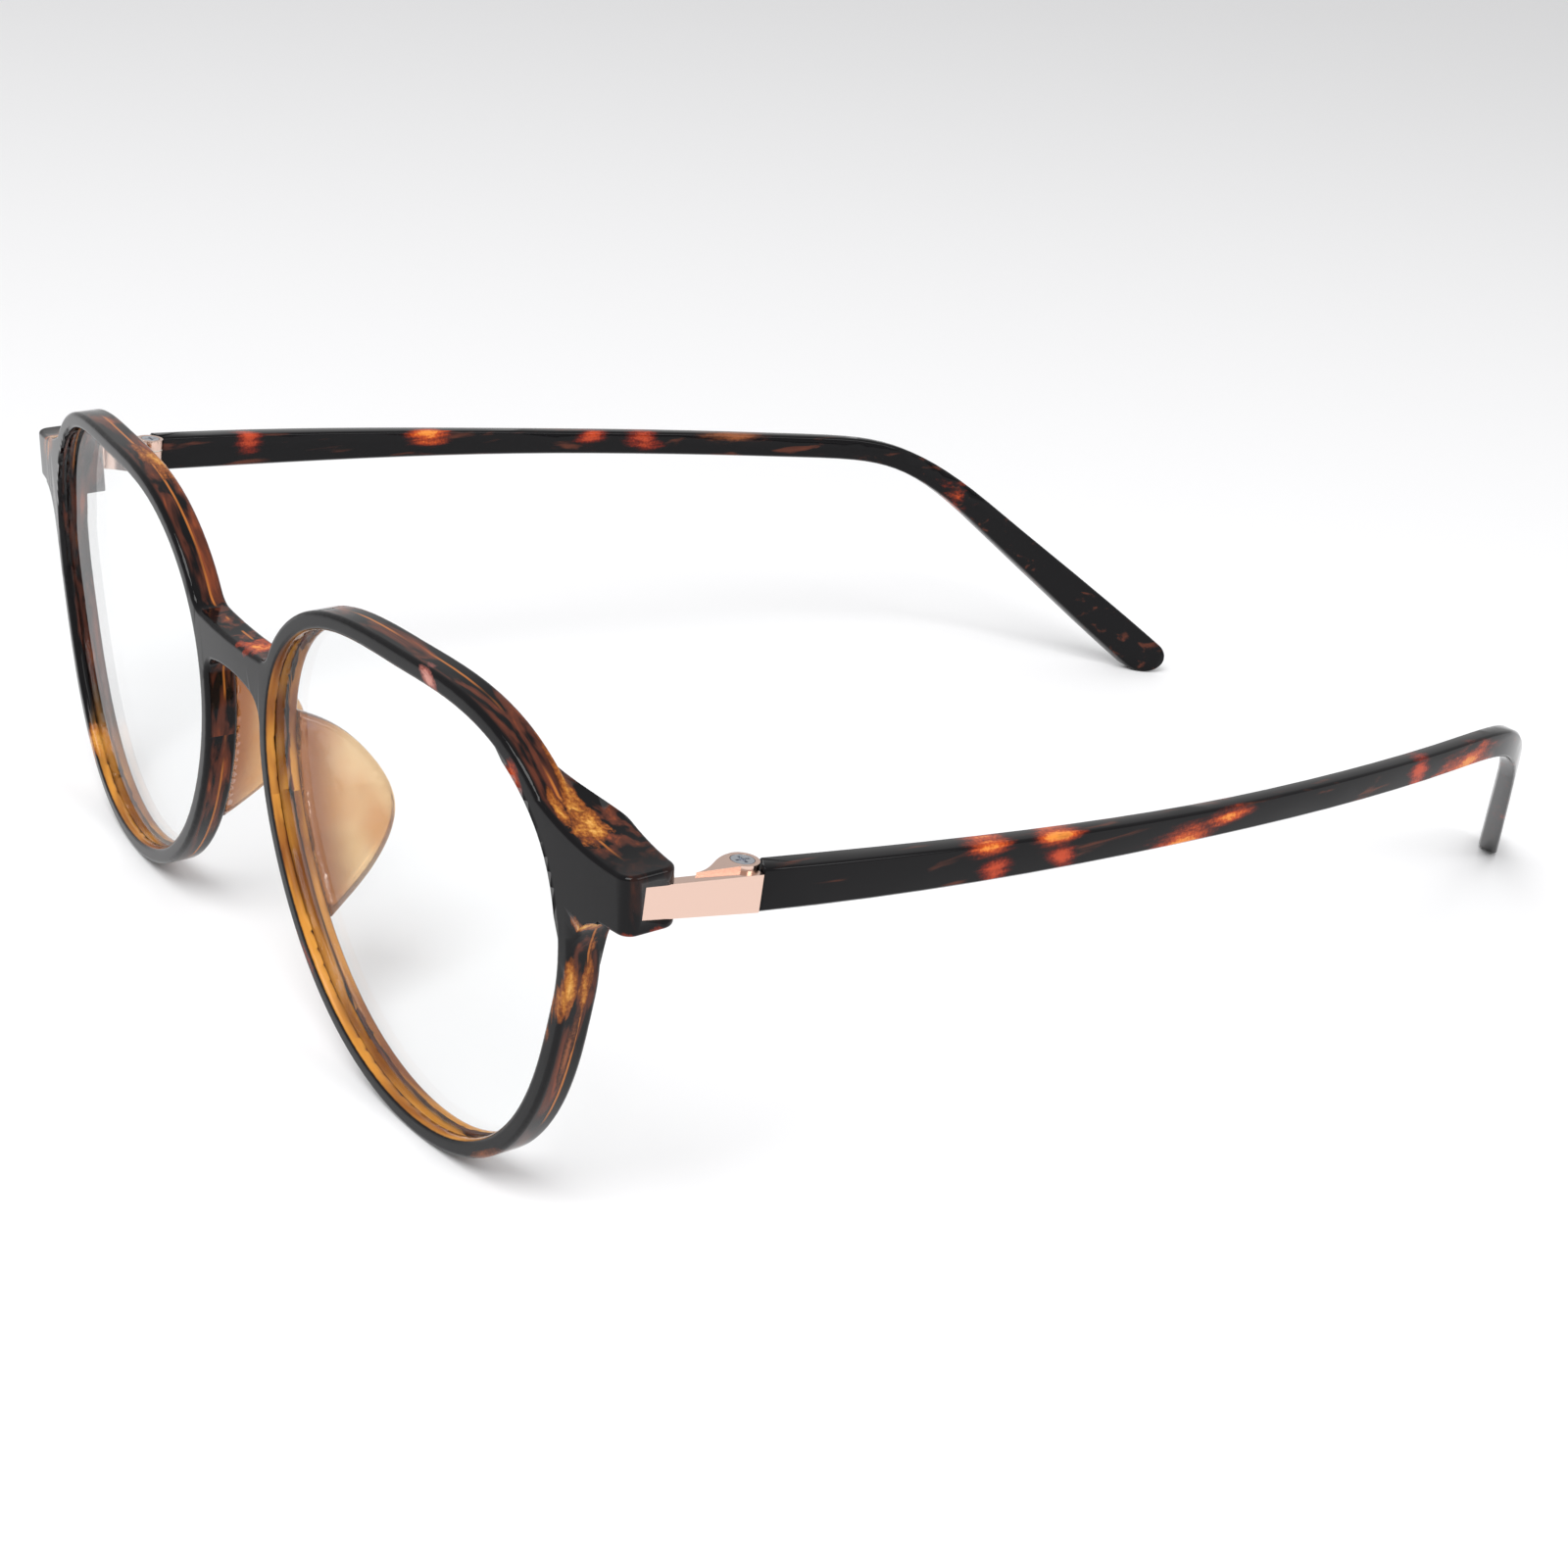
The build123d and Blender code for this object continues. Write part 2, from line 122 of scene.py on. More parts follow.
def alongTheRim(material, where):
    # metres along the rim, out from its lens and back from the front face, the same way round on both sides
    low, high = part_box("demo_lens_right")
    centre = (low + high) / 2
    x, y, z = addNode(material, "SeparateXYZ", (where,), None)
    evenX = addNode(material, "Math", (x,), operation="ABSOLUTE")
    sideways = addNode(material, "Math", (evenX, centre.x), operation="SUBTRACT")
    upwards = addNode(material, "Math", (z, centre.z), operation="SUBTRACT")
    angle = addNode(material, "Math", (upwards, sideways), operation="ARCTAN2")
    along = addNode(material, "Math", (angle, rimForm["radius"] * mm), operation="MULTIPLY")
    acrossSquared = addNode(material, "Math", (sideways, sideways), operation="MULTIPLY")
    heightSquared = addNode(material, "Math", (upwards, upwards), operation="MULTIPLY")
    bothSquared = addNode(material, "Math", (acrossSquared, heightSquared), operation="ADD")
    out = addNode(material, "Math", (bothSquared,), operation="SQRT")
    xSquared = addNode(material, "Math", (x, x), operation="MULTIPLY")
    bend = addNode(material, "Math", (xSquared, 1 / (2 * rimForm["bendRadius"] * mm)), operation="MULTIPLY")
    lean = addNode(material, "Math", (upwards, math.tan(math.radians(rimForm["lean"]))), operation="MULTIPLY")
    upright = addNode(material, "Math", (y, lean), operation="ADD")
    flat = addNode(material, "Math", (upright, bend), operation="SUBTRACT")
    depth = addNode(material, "Math", (flat, rimForm["frontFace"] * mm), operation="SUBTRACT")
    return along, out, depth, centre


def tortoiseAcetate(name, look, patches):
    # block-cut cellulose acetate, tumble polished: near black with streaks and amber grain under a deep gloss
    sheet = tortoiseSheet
    material = newMaterial(name)
    where = addNode(material, "TexCoord", output="Object")
    isFront = look["followsRim"]
    squeeze = sheet["streakWidth"] / sheet["streakLength"]
    if isFront:
        along, out, depth, centre = alongTheRim(material, where)
        x = addNode(material, "SeparateXYZ", (where,))
        squeezed = addNode(material, "Math", (along, squeeze), operation="MULTIPLY")
        hand = addNode(material, "Math", (x,), operation="SIGN")
        apart = addNode(material, "Math", (hand, look["shift"]), operation="MULTIPLY")
        shifted = addNode(material, "Math", (squeezed, apart), operation="ADD")
        flow = addNode(material, "CombineXYZ", (shifted, out, depth))
    else:
        flow = addNode(material, "Mapping", {"Vector": where, "Location": look["shift"],
                                             "Scale": (1.0, squeeze, 1.0)})
    streak = addNode(material, "TexNoise", {"Vector": flow, "Scale": 1 / (sheet["streakWidth"] * mm),
                     "Detail": 3.0, "Roughness": 0.5, "Distortion": 0.4})
    brown = addNode(material, "MapRange", (streak, *look["brownStreaks"]), interpolation_type="SMOOTHSTEP")
    light = addNode(material, "MapRange", (streak, *look["lightStreaks"]), interpolation_type="SMOOTHSTEP")
    ground = addNode(material, "Mix", {0: brown, 6: hexColour(sheet["black"]),
                     7: hexColour(sheet["brown"])}, 2, data_type="RGBA")
    ground = addNode(material, "Mix", {0: light, 6: ground, 7: hexColour(sheet["redBrown"])}, 2,
                     data_type="RGBA")
    if isFront:
        ground = frontLayers(material, look, ground, flow, x, depth)
    colour, shine = placedPatches(material, look, patches, where, flow, ground)
    if isFront:
        colour, shine = openingWalls(material, look, colour, shine, where, flow, centre)
    wave = addNode(material, "TexNoise", {"Vector": where, "Scale": 1 / (sheet["waveSize"] * mm),
                   "Detail": 1.0, "Roughness": 0.55})
    bump = addNode(material, "Bump", {"Height": wave, "Strength": sheet["waveStrength"],
                   "Distance": sheet["waveHeight"] * mm})
    rough = addNode(material, "MapRange", {0: wave, 3: sheet["roughness"][0], 4: sheet["roughness"][1]})
    under = addNode(material, "Math", (shine, sheet["innerLight"]), operation="MULTIPLY")
    shader = addNode(material, "BsdfPrincipled", {"Base Color": colour, "Roughness": rough, "Normal": bump,
                     "Subsurface Weight": under, "Subsurface Radius": (1.0, 0.5, 0.2),
                     "Subsurface Scale": 1.0 * mm, "IOR": 1.49, "Specular IOR Level": 0.18})
    addNode(material, "OutputMaterial", (shader,), None)
    return material


def frontLayers(material, look, ground, flow, x, depth):
    # the front sheet is the black one, and the browns show behind it
    behind = addNode(material, "MapRange", (depth, *(d * mm for d in look["blackSkin"])),
                     interpolation_type="SMOOTHSTEP")
    evenX = addNode(material, "Math", (x,), operation="ABSOLUTE")
    lugSide = addNode(material, "MapRange", (evenX, *(d * mm for d in look["lugFrom"])),
                      interpolation_type="SMOOTHSTEP")
    lugBlack = addNode(material, "Math", (lugSide, look["lugBlack"]), operation="MULTIPLY")
    kept = addNode(material, "Math", (1.0, lugBlack), operation="SUBTRACT")
    behind = addNode(material, "Math", (behind, kept), operation="MULTIPLY")
    ground = addNode(material, "Mix", {0: behind, 6: hexColour(tortoiseSheet["black"]), 7: ground}, 2,
                     data_type="RGBA")
    # one thin amber line follows the rim behind the brown
    offset = addNode(material, "Math", (depth, look["lineDepth"] * mm), operation="SUBTRACT")
    lineAt = addNode(material, "Math", (offset,), operation="ABSOLUTE")
    gaps = addNode(material, "TexNoise", {"Vector": flow, "Scale": 1 / (look["lineGaps"] * mm),
                   "Detail": 1.0, "Roughness": 0.55})
    broken = addNode(material, "MapRange", (gaps, *look["lineBreaks"]), interpolation_type="SMOOTHSTEP")
    line = addNode(material, "MapRange", (lineAt, *(d * mm for d in look["lineWidth"])),
                   interpolation_type="SMOOTHSTEP")
    offLug = addNode(material, "Math", (1.0, lugSide), operation="SUBTRACT")
    broken = addNode(material, "Math", (broken, offLug), operation="MULTIPLY")
    line = addNode(material, "Math", (line, broken), operation="MULTIPLY")
    return addNode(material, "Mix", {0: line, 6: ground, 7: hexColour(look["line"])}, 2, data_type="RGBA")


def placedPatches(material, look, patches, where, flow, colour):
    # each patch is an egg with a ragged edge, dark at its rim and light and grainy in its middle
    sheet = tortoiseSheet
    grain = addNode(material, "TexNoise", {"Vector": where, "Scale": 1 / (sheet["grainSize"] * mm),
                    "Detail": 3.0, "Roughness": 0.6})
    bays = addNode(material, "TexNoise", {"Vector": flow, "Scale": 1 / (sheet["baySize"] * mm),
                   "Detail": 4.0, "Roughness": 0.6})
    cut = addNode(material, "Math", (bays, sheet["bayDepth"]), operation="MULTIPLY")
    speckle = addNode(material, "Math", (grain, sheet["grainDepth"]), operation="MULTIPLY")
    shine = 0.0
    for middle, halfSize, tilt, tone in patches:
        local = addNode(material, "Mapping", {"Vector": where, "Location": tuple(c * mm for c in middle),
                        "Rotation": (0, math.radians(tilt), 0), "Scale": tuple(s * mm for s in halfSize)},
                        vector_type="TEXTURE")
        reach = addNode(material, "VectorMath", (local,), "Value", operation="LENGTH")
        reach = addNode(material, "Math", (reach, cut), operation="ADD")
        mask = addNode(material, "MapRange", (reach, *look["patchEdge"]), interpolation_type="SMOOTHSTEP")
        speckled = addNode(material, "Math", (reach, speckle), operation="ADD")
        toneAt = addNode(material, "MapRange", (speckled, *sheet["toneEdge"]),
                         interpolation_type="SMOOTHSTEP")
        toned = addNode(material, "ValToRGB", (toneAt,), stops=sheet["tones"][tone])
        colour = addNode(material, "Mix", {0: mask, 6: colour, 7: toned}, 2, data_type="RGBA")
        shine = addNode(material, "Math", (shine, mask), operation="MAXIMUM")
    return colour, shine


def openingWalls(material, look, colour, shine, where, flow, centre):
    # the cut wall of each lens opening shows the amber layer of the sheet, strongest by the nose and below
    x, y, z = addNode(material, "SeparateXYZ", (where,), None)
    evenX = addNode(material, "Math", (x,), operation="ABSOLUTE")
    inX = addNode(material, "Math", (centre.x, evenX), operation="SUBTRACT")
    inZ = addNode(material, "Math", (centre.z, z), operation="SUBTRACT")
    toward = addNode(material, "CombineXYZ", (inX, 0.0, inZ))
    toward = addNode(material, "VectorMath", (toward,), operation="NORMALIZE")
    facing = addNode(material, "TexCoord", output="Normal")
    fx, fy, fz = addNode(material, "SeparateXYZ", (facing,), None)
    hand = addNode(material, "Math", (x,), operation="SIGN")
    evenFx = addNode(material, "Math", (fx, hand), operation="MULTIPLY")
    evenFacing = addNode(material, "CombineXYZ", (evenFx, fy, fz))
    inward = addNode(material, "VectorMath", (toward, evenFacing), "Value", operation="DOT_PRODUCT")
    side = addNode(material, "VectorMath", (toward, look["wallSide"]), "Value", operation="DOT_PRODUCT")
    clouds = addNode(material, "TexNoise", {"Vector": flow, "Scale": 1 / (look["wallClouds"] * mm),
                     "Detail": 2.0, "Roughness": 0.55})
    cloudy = addNode(material, "Math", (clouds, look["wallRagged"]), operation="MULTIPLY")
    sideCloudy = addNode(material, "Math", (side, cloudy), operation="ADD")
    strength = addNode(material, "MapRange", (sideCloudy, *look["wallReach"]),
                       interpolation_type="SMOOTHSTEP")
    onWall = addNode(material, "MapRange", (inward, *look["wallTurn"]), interpolation_type="SMOOTHSTEP")
    mask = addNode(material, "Math", (onWall, strength), operation="MULTIPLY")
    blend = addNode(material, "MapRange", (clouds, *look["wallBlend"]), interpolation_type="SMOOTHSTEP")
    amber = addNode(material, "Mix", {0: blend, 6: hexColour(look["wallDark"]),
                    7: hexColour(look["wallLight"])}, 2, data_type="RGBA")
    colour = addNode(material, "Mix", {0: mask, 6: colour, 7: amber}, 2, data_type="RGBA")
    return colour, addNode(material, "Math", (shine, mask), operation="MAXIMUM")


def honeyAcetate(look):
    # clear honey acetate, polished: light passes through and gathers a peach tint
    material = newMaterial("honey acetate")
    where = addNode(material, "TexCoord", output="Object")
    swirl = addNode(material, "TexNoise", {"Vector": where, "Scale": 1 / (look["swirlSize"] * mm),
                    "Detail": 2.0})
    y = addNode(material, "SeparateXYZ", (where,), 1)
    drift = addNode(material, "Math", (swirl, look["rootDrift"] * mm), operation="MULTIPLY")
    drifted = addNode(material, "Math", (y, drift), operation="ADD")
    root = addNode(material, "MapRange", (drifted, *(d * mm for d in look["rootEdge"])),
                   interpolation_type="SMOOTHSTEP")
    cloud = addNode(material, "MapRange", (swirl, *look["swirlEdge"]), interpolation_type="SMOOTHSTEP")
    colour = addNode(material, "Mix", {0: cloud, 6: hexColour(look["light"]), 7: hexColour(look["dark"])}, 2,
                     data_type="RGBA")
    colour = addNode(material, "Mix", {0: root, 6: colour, 7: hexColour(look["root"])}, 2, data_type="RGBA")
    shader = addNode(material, "BsdfPrincipled", {"Base Color": colour, "IOR": 1.49, "Roughness": 0.08,
                     "Transmission Weight": 0.82, "Coat Weight": 0.5, "Coat Roughness": 0.04})
    addNode(material, "OutputMaterial", (shader,), None)
    return material


def clearAcrylic(look):
    # thin clear moulded acrylic: seen only by a faint reflection that grows towards its edge
    material = newMaterial("clear acrylic sheet")
    where = addNode(material, "TexCoord", output="Object")
    haze = addNode(material, "TexNoise", {"Vector": where, "Scale": 1 / (look["hazeSize"] * mm),
                   "Detail": 1.0})
    rough = addNode(material, "MapRange", {0: haze, 3: look["roughness"][0], 4: look["roughness"][1]})
    gloss = addNode(material, "BsdfGlossy", {"Color": (1, 1, 1, 1), "Roughness": rough})
    clear = addNode(material, "BsdfTransparent", {"Color": look["tint"]})
    edge = addNode(material, "LayerWeight", {"Blend": 0.5}, "Facing")
    # the power makes the reflection rise late, as a clear sheet's does
    steep = addNode(material, "Math", (edge, 5.0), operation="POWER")
    held = addNode(material, "Math", (steep, look["edgeGloss"]), operation="MULTIPLY")
    share = addNode(material, "Math", (held, look["faceGloss"]), operation="ADD")
    mixed = addNode(material, "MixShader", (share, clear, gloss))
    addNode(material, "OutputMaterial", (mixed,), None)
    return material


hairline = {
    "width": 0.12,               # mm, drawn coarser than buffing leaves it, so that it shows
    "squeeze": 0.08,             # its width for each part of its length
    "depth": 0.01,               # mm
    "strength": 0.08,
}


def buffedMetal(name, look):
    # plated or drawn metal, buffed: bright, with faint hairlines along the piece
    material = newMaterial(name)
    where = addNode(material, "TexCoord", output="Object")
    drawn = addNode(material, "Mapping", {"Vector": where, "Scale": (1.0, hairline["squeeze"], 1.0)})
    lines = addNode(material, "TexNoise", {"Vector": drawn, "Scale": 1 / (hairline["width"] * mm),
                    "Detail": 2.0})
    rough = addNode(material, "MapRange", {0: lines, 3: look["roughness"],
                    4: look["roughness"] + look["hairlines"]})
    bump = addNode(material, "Bump", {"Height": lines, "Strength": hairline["strength"],
                   "Distance": hairline["depth"] * mm})
    shader = addNode(material, "BsdfPrincipled", {"Metallic": 1.0, "Base Color": hexColour(look["colour"]),
                     "Roughness": rough, "Normal": bump})
    addNode(material, "OutputMaterial", (shader,), None)
    return material


def turnedNylon(look):
    # turned natural nylon: waxy white with a faint mottle
    material = newMaterial("natural nylon")
    where = addNode(material, "TexCoord", output="Object")
    mottle = addNode(material, "TexNoise", {"Vector": where, "Scale": 1 / (look["mottleSize"] * mm)})
    colour = addNode(material, "Mix", {0: mottle, 6: hexColour(look["light"]), 7: hexColour(look["dark"])}, 2,
                     data_type="RGBA")
    shader = addNode(material, "BsdfPrincipled", {"Base Color": colour, "Roughness": 0.45,
                     "Subsurface Weight": 0.2, "Subsurface Radius": (0.0005, 0.0005, 0.0004)})
    addNode(material, "OutputMaterial", (shader,), None)
    return material


mergeDistance = 0.002 * mm       # closes the seams between the CAD's loose triangles
flatAngle = 0.5                  # degrees, below which two triangles are one flat


def softenedCopy(node, name, angle, bevelWidth=0, segments=2):
    # the node's shape as one joined mesh, with its sharp edges broken
    piece = nodes[node].copy()
    piece.data = nodes[node].data.copy()
    piece.name = name
    piece.parent = None
    for key in list(piece.keys()):
        del piece[key]
    bpy.context.scene.collection.objects.link(piece)
    pickOnly(piece)
    bpy.ops.object.mode_set(mode="EDIT")
    bpy.ops.mesh.select_all(action="SELECT")
    bpy.ops.mesh.remove_doubles(threshold=mergeDistance)
    if bevelWidth:
        bpy.ops.mesh.dissolve_limited(angle_limit=math.radians(flatAngle))
    bpy.ops.object.mode_set(mode="OBJECT")
    if bevelWidth:
        bevel = piece.modifiers.new("brokenEdges", "BEVEL")
        bevel.width = bevelWidth * mm
        bevel.segments = segments
        bevel.limit_method = "ANGLE"
        bevel.angle_limit = math.radians(angle)
        bpy.ops.object.modifier_apply(modifier=bevel.name)
    bpy.ops.object.shade_smooth_by_angle(angle=math.radians(angle))
    weighted = piece.modifiers.new("evenGloss", "WEIGHTED_NORMAL")
    weighted.keep_sharp = True
    bpy.ops.object.modifier_apply(modifier=weighted.name)
    return piece


def tumbledCopy(node, name, look):
    # the node's shape as one even skin, its edges rounded as tumbling rounds them
    piece = softenedCopy(node, name, 180)
    pickOnly(piece)
    piece.data.remesh_voxel_size = look["voxel"] * mm
    piece.data.remesh_voxel_adaptivity = 0
    bpy.ops.object.voxel_remesh()
    smooth = piece.modifiers.new("tumbled", "SMOOTH")
    smooth.factor = 0.5
    smooth.iterations = look["passes"]
    bpy.ops.object.modifier_apply(modifier=smooth.name)
    bpy.ops.object.shade_smooth()
    print(name, len(piece.data.polygons), "faces")
    return piece


def setMaterial(piece, material):
    piece.data.materials.clear()
    piece.data.materials.append(material)


def fitPiece(piece, node, body, material):
    setMaterial(piece, material)
    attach(piece, body)
    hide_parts(node)
    deselectAll()


deselectAll()

print("front")
# a patch has its middle and half size in mm, its tilt about Y in degrees, and its tone
frontMoulding = {
    "smoothAngle": 32,
    "followsRim": True,
    "shift": 0.04,               # m, sets the two rims' streaks apart
    "brownStreaks": (0.46, 0.60),
    "lightStreaks": (0.60, 0.74),
    "patchEdge": (2.12, 1.92),
    "blackSkin": (0.35, 0.75),   # mm back from the front face, where black gives way
    "lugFrom": (58, 62),         # mm from the middle, where the lugs turn black
    "lugBlack": 0.85,
    "line": "#a8642c",
    "lineDepth": 1.9,            # mm back from the front face
    "lineWidth": (0.16, 0.05),   # mm, half of it outside and inside its soft edge
    "lineGaps": 2.4,             # mm
    "lineBreaks": (0.46, 0.56),
    "wallDark": "#7a4420",
    "wallLight": "#c98a3a",
    "wallClouds": 2.2,           # mm
    "wallRagged": 0.8,           # how far the clouds break up the wall's amber
    "wallReach": (0.2, 0.75),    # how far round the opening the amber goes
    "wallTurn": (0.55, 0.8),     # how squarely a face looks inwards before it counts as wall
    "wallBlend": (0.35, 0.65),
    "wallSide": (0.75, 0.0, 0.66),     # the way to the rim's middle from where the wall is most amber
    "patches": [
        ((54.0, -69.9, 41.6), (7.0, 1.1, 1.8), 42, "gold"),
        ((57.0, -69.9, 40.1), (2.6, 1.5, 1.6), 36, "gold"),
        ((54.6, -71.3, 41.0), (2.2, 0.6, 1.6), 40, "gold"),
        ((50.0, -72.4, 42.2), (1.9, 1.6, 1.0), 60, "orange"),
        ((38, -74.6, 45.8), (1.4, 1.3, 1.0), 30, "pink"),
        ((59.8, -70.4, 31.4), (3.0, 2.6, 0.8), 20, "gold"),
        ((63.0, -67, 33.2), (2.0, 3.8, 0.7), 0, "orange"),
        ((58.4, -69.4, 27.0), (1.4, 0.7, 5.4), 14, "gold"),
        ((56.6, -71.0, 25.0), (1.2, 0.7, 3.6), 16, "gold"),
        ((54.6, -72.0, 20.4), (1.3, 0.6, 2.4), 20, "gold"),
        ((56.0, -69.8, 19.6), (1.2, 0.5, 5.0), 22, "brown"),
        ((-6.4, -74.5, 41.2), (1.4, 2.0, 3.2), -30, "orange"),
        ((3.6, -74.2, 36.6), (2.2, 2.0, 1.2), 10, "orange"),
        ((-24, -73, 46.6), (4.2, 1.6, 1.2), 10, "gold"),
        ((-58, -70, 39), (5.0, 2.4, 2.0), -40, "gold"),
        ((-48, -71, 6), (4, 2, 2.2), -40, "gold"),
        ((13, -73, 8.5), (3.2, 2.2, 3.0), 45, "orange"),
        ((46, -71, 3.4), (4.0, 2.0, 1.6), -30, "brown"),
    ],
}
front = softenedCopy("front", "frontMoulding", frontMoulding["smoothAngle"])
fitPiece(front, "front", "front_body",
         tortoiseAcetate("tortoise acetate front", frontMoulding, frontMoulding["patches"]))

print("temples")
templeArm = {
    "smoothAngle": 55,
    "followsRim": False,
    "shift": (0.031, 0.031, -0.031),   # m, picks the part of the sheet it is cut from
    "brownStreaks": (0.58, 0.72),
    "lightStreaks": (0.72, 0.86),
    "patchEdge": (2.3, 1.7),
    "patches": {
        "right": [
            ((65, -35.6, 34.9), (2.4, 3.0, 1.0), 0, "orange"),
            ((65, -34.6, 32.5), (2.4, 1.9, 1.3), 0, "red"),
            ((65, -27.4, 34.4), (2.4, 3.0, 1.0), 0, "orange"),
            ((65, -27.0, 32.4), (2.4, 1.7, 1.5), 0, "red"),
            ((64.3, -12.4, 31.0), (2.6, 4.6, 1.5), 0, "orange"),
            ((64.0, -6.0, 31.9), (2.6, 3.4, 1.0), 0, "orange"),
            ((60, 24.4, 29.4), (2.4, 1.9, 2.4), 0, "red"),
            ((58, 34, 28), (2.8, 6.6, 2.0), 0, "orange"),
            ((64.6, -50, 37.1), (1.4, 2.6, 0.45), 0, "red"),
            ((64.8, -41, 37.0), (1.2, 6.0, 0.5), 0, "brown"),
            ((42, 66, 12), (3, 4, 3), 0, "orange"),
        ],
        "left": [
            ((-62.8, -46, 35.6), (2.6, 1.9, 2.6), 0, "red"),
            ((-62.8, -22, 34.2), (2.6, 2.9, 2.4), 0, "orange"),
            ((-61.2, 0.4, 32.4), (2.6, 2.3, 2.4), 0, "red"),
            ((-60.2, 8, 31.6), (2.4, 2.8, 2.2), 0, "red"),
            ((-58.4, 20, 31.2), (2.4, 6.2, 1.2), 0, "brown"),
            ((-50.8, 52.6, 22), (2.8, 3.6, 3.0), 0, "orange"),
            ((-46.6, 65.8, 12), (2.8, 3.2, 3.0), 0, "red"),
            ((-42.4, 74.6, 3.2), (2.4, 2.2, 1.8), 0, "brown"),
        ],
    },
}
for side in sides:
    temple = softenedCopy("temple_" + side, "templeArm_" + side, templeArm["smoothAngle"])
    fitPiece(temple, "temple_" + side, side + "_temple_body",
             tortoiseAcetate("tortoise acetate temple " + side, templeArm, templeArm["patches"][side]))

print("nose pads")
nosePad = {
    "voxel": 0.2,                # mm
    "passes": 8,
    "light": "#efc78e",
    "dark": "#dc9c58",
    "root": "#a4602a",           # thicker and browner where the pad meets the rim
    "rootEdge": (-66.4, -70.4),  # mm, from the pad's own colour to the root's
    "rootDrift": 1.6,            # mm
    "swirlSize": 6,              # mm
    "swirlEdge": (0.35, 0.65),
}
honey = honeyAcetate(nosePad)
for side in sides:
    pad = tumbledCopy("nose_pad_" + side, "nosePad_" + side, nosePad)
    fitPiece(pad, "nose_pad_" + side, "front_body", honey)

print("demonstration lenses")
demoLens = {
    "meanRadius": 23.66,         # mm, to the edge in the groove
    "cosines": ((0.80, 2), (-0.55, 4), (-0.91, 1), (-0.44, 3)),    # mm and turns: what makes it panto
    "sines": ((1.28, 3), (1.29, 1), (-0.20, 2)),
    "middle": 33.0,              # mm from the bridge's middle to the lens's
    "faces": (1.04, 2.24),       # mm back from the rim's front face
    "edgeBevel": 0.35,           # mm
    "rings": 14,
    "spokes": 144,
    "hazeSize": 18,              # mm
    "roughness": (0.01, 0.03),
    "tint": (0.985, 0.99, 0.99, 1),    # linear, what the sheet lets through
    "edgeGloss": 0.6,            # the share that it reflects edge on
    "faceGloss": 0.012,          # and face on
}


def lensPoint(look, sign, layer, angle):
    # one point of a bent, leaning sheet, in mm
    depth, share, growth = layer
    radius = look["meanRadius"] + growth
    radius += sum(size * math.cos(turns * angle) for size, turns in look["cosines"])
    radius += sum(size * math.sin(turns * angle) for size, turns in look["sines"])
    across = look["middle"] + share * radius * math.cos(angle)
    height = share * radius * math.sin(angle)
    back = across ** 2 / (2 * rimForm["bendRadius"]) + depth
    lean = math.radians(rimForm["lean"])
    return (sign * across, back * math.cos(lean) - height * math.sin(lean),
            back * math.sin(lean) + height * math.cos(lean))


def lensSheet(side, name, look):
    # two bent faces with a bevelled edge between them; the outline is a formula, so its mesh is laid in rings
    sign = 1 if side == "right" else -1
    rings, spokes, bevel = look["rings"], look["spokes"], look["edgeBevel"]
    fore, rear = look["faces"]
    layers = [(fore, ring / rings, -bevel) for ring in range(1, rings + 1)]
    layers += [(fore + bevel, 1, 0), (rear - bevel, 1, 0)]
    layers += [(rear, ring / rings, -bevel) for ring in range(rings, 0, -1)]
    turns = [2 * math.pi * step / spokes for step in range(spokes)]
    points = [lensPoint(look, sign, layer, angle) for layer in layers for angle in turns]
    points += [lensPoint(look, sign, (fore, 0, 0), 0), lensPoint(look, sign, (rear, 0, 0), 0)]
    faces = []
    for row in range(len(layers) - 1):
        for step in range(spokes):
            after = (step + 1) % spokes
            near, far = row * spokes, (row + 1) * spokes
            faces.append((near + step, near + after, far + after, far + step))
    last = (len(layers) - 1) * spokes
    for step in range(spokes):
        after = (step + 1) % spokes
        faces.append((len(points) - 2, after, step))
        faces.append((len(points) - 1, last + step, last + after))
    low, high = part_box("demo_lens_" + side)
    middleNow = [(min(p[i] for p in points) + max(p[i] for p in points)) / 2 for i in range(3)]
    middleCad = (low + high) / 2
    placed = [tuple(p[i] * mm - middleNow[i] * mm + middleCad[i] for i in range(3)) for p in points]
    mesh = bpy.data.meshes.new(name)
    mesh.from_pydata(placed, [], faces)
    piece = bpy.data.objects.new(name, mesh)
    bpy.context.scene.collection.objects.link(piece)
    pickOnly(piece)
    bpy.ops.object.mode_set(mode="EDIT")
    bpy.ops.mesh.select_all(action="SELECT")
    bpy.ops.mesh.normals_make_consistent(inside=False)
    bpy.ops.object.mode_set(mode="OBJECT")
    bpy.ops.object.shade_smooth_by_angle(angle=math.radians(30))
    return piece


clearSheet = clearAcrylic(demoLens)
for side in sides:
    lens = lensSheet(side, "lensSheet_" + side, demoLens)
    fitPiece(lens, "demo_lens_" + side, "front_body", clearSheet)

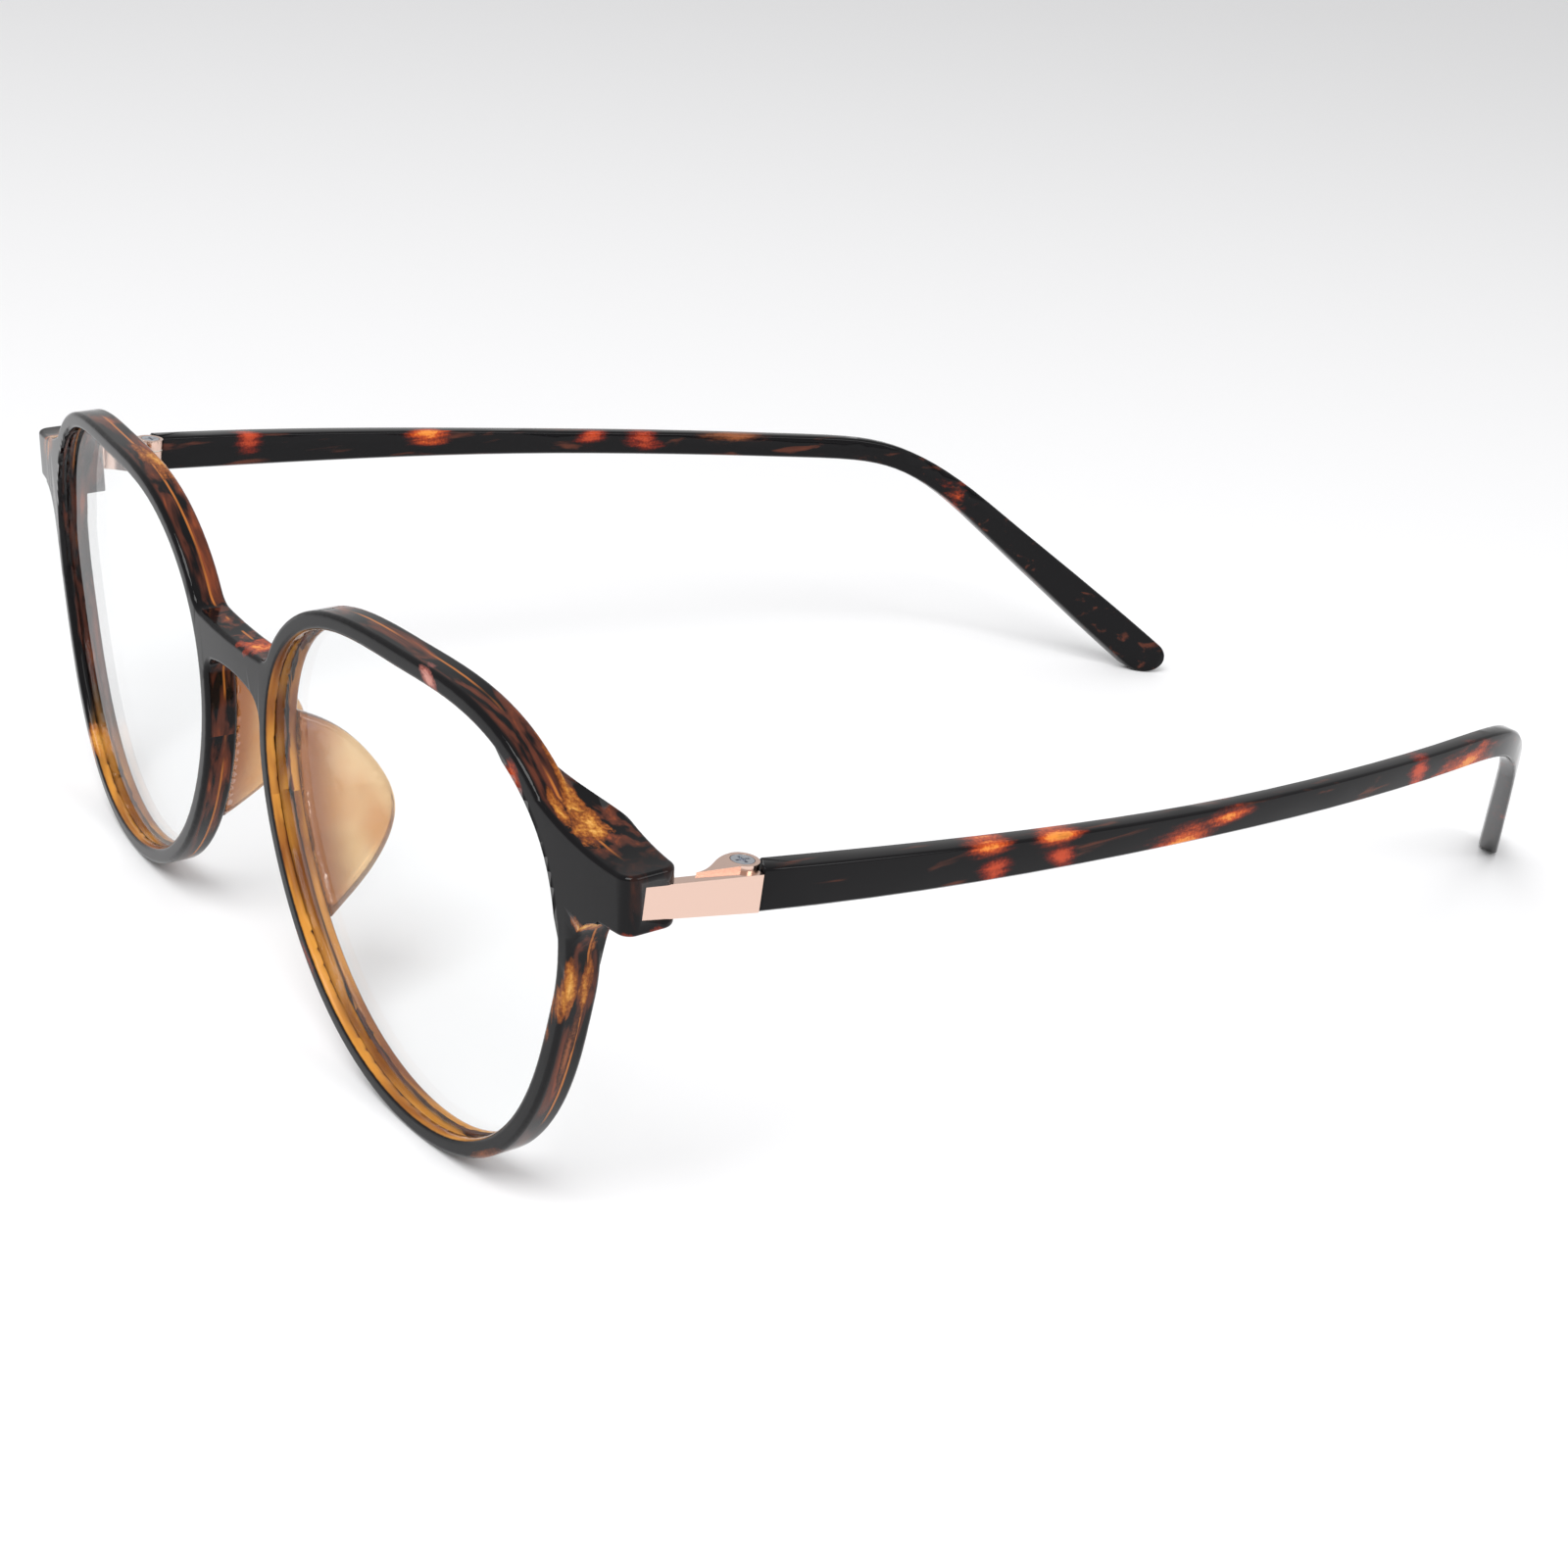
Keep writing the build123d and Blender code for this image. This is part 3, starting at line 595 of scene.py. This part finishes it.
print("end pieces and screws")
endPiece = {"smoothAngle": 30, "bevel": 0.11, "segments": 3,      # degrees, mm
            "colour": "#dcbdae", "roughness": 0.13, "hairlines": 0.05}
hingeScrew = {"smoothAngle": 30, "bevel": 0.05, "segments": 2,
              "colour": "#b4b7bd", "roughness": 0.16, "hairlines": 0.10}
roseGold = buffedMetal("rose gold plated nickel silver", endPiece)
steel = buffedMetal("bright zinc plated steel", hingeScrew)
for side in sides:
    plate = softenedCopy("end_piece_" + side, "endPiece_" + side, endPiece["smoothAngle"], endPiece["bevel"],
                         endPiece["segments"])
    fitPiece(plate, "end_piece_" + side, "front_body", roseGold)
    screw = softenedCopy("hinge_screw_" + side, "crossScrew_" + side, hingeScrew["smoothAngle"],
                         hingeScrew["bevel"], hingeScrew["segments"])
    fitPiece(screw, "hinge_screw_" + side, "front_body", steel)

print("hidden pieces")
coreWire = {"colour": "#b8babd", "roughness": 0.25, "hairlines": 0.15}
nylonPart = {"light": "#efece4", "dark": "#ddd8cc", "mottleSize": 0.4}     # mm
nickelWire = buffedMetal("drawn nickel silver wire", coreWire)
nylon = turnedNylon(nylonPart)
for side in sides:
    for node, material in (("upper_washer_", nylon), ("lower_washer_", nylon), ("hinge_bush_", nylon),
                           ("temple_hinge_", roseGold), ("temple_core_", nickelWire)):
        setMaterial(nodes[node + side], material)

print("floor, light and camera")
studio = {
    "floorColour": "#f3f3f4",
    "floorGrain": 2,             # mm
    "floorSize": 6.0,            # m
    "worldLevel": 0.68,
    "keyPower": 6.5,             # W
    "keyPlace": (0.35, -0.45, 0.80),   # m, on the camera's side, so that the black stays deep
    "keySize": 0.5,              # m
    "fillPower": 1.2,
    "fillPlace": (0.65, 0.30, 0.45),
    "fillSize": 0.35,
}
camera = {
    "place": (0.2170, -0.16934, 0.12525),     # m
    "azimuth": 53.602,           # degrees round from the front, towards +X
    "elevation": 23.175,         # degrees above level
    "roll": 5.253,               # degrees, the picture leans
    "lens": 60.14,               # mm, on a 36 mm sensor
}

deselectAll()
bpy.ops.mesh.primitive_plane_add(size=studio["floorSize"], location=(0, 0, 0))
floor = bpy.context.active_object
floor.name = "tableTop"
# matt laminate, pressed: an even pale top with no reflection of its own
laminate = newMaterial("matt white laminate")
floorAt = addNode(laminate, "TexCoord", output="Object")
floorGrain = addNode(laminate, "TexNoise", {"Vector": floorAt, "Scale": 1 / (studio["floorGrain"] * mm)})
floorRough = addNode(laminate, "MapRange", {0: floorGrain, 3: 0.6, 4: 0.7})
floorShader = addNode(laminate, "BsdfPrincipled", {"Base Color": hexColour(studio["floorColour"]),
                      "Roughness": floorRough})
addNode(laminate, "OutputMaterial", (floorShader,), None)
setMaterial(floor, laminate)

world = bpy.data.worlds.new("softRoom")
bpy.context.scene.world = world
world.use_nodes = True
background = world.node_tree.nodes["Background"]
background.inputs[0].default_value = (1.0, 1.0, 1.0, 1.0)
background.inputs[1].default_value = studio["worldLevel"]


def softLight(name, where, power, size):
    data = bpy.data.lights.new(name, "AREA")
    data.energy = power
    data.size = size
    lamp = bpy.data.objects.new(name, data)
    lamp.location = where
    lamp.rotation_euler = (Vector((0, 0, 0.02)) - Vector(where)).to_track_quat("-Z", "Y").to_euler()
    bpy.context.scene.collection.objects.link(lamp)


softLight("keySoftbox", studio["keyPlace"], studio["keyPower"], studio["keySize"])
softLight("fillSoftbox", studio["fillPlace"], studio["fillPower"], studio["fillSize"])

azimuth, elevation, roll = (math.radians(camera[key]) for key in ("azimuth", "elevation", "roll"))
back = Vector((math.sin(azimuth) * math.cos(elevation), -math.cos(azimuth) * math.cos(elevation),
               math.sin(elevation)))
level = (-back).cross(Vector((0, 0, 1))).normalized()
upright = level.cross(-back)
right = level * math.cos(roll) + upright * math.sin(roll)
up = upright * math.cos(roll) - level * math.sin(roll)
cameraData = bpy.data.cameras.new("studioCamera")
cameraData.lens = camera["lens"]
cameraData.sensor_width = 36
cameraData.clip_start = 0.005
cameraObject = bpy.data.objects.new("studioCamera", cameraData)
turned = Matrix((right, up, back)).transposed().to_4x4()
cameraObject.matrix_world = Matrix.Translation(camera["place"]) @ turned
bpy.context.scene.collection.objects.link(cameraObject)
bpy.context.scene.camera = cameraObject
bpy.context.scene.view_settings.view_transform = "Standard"
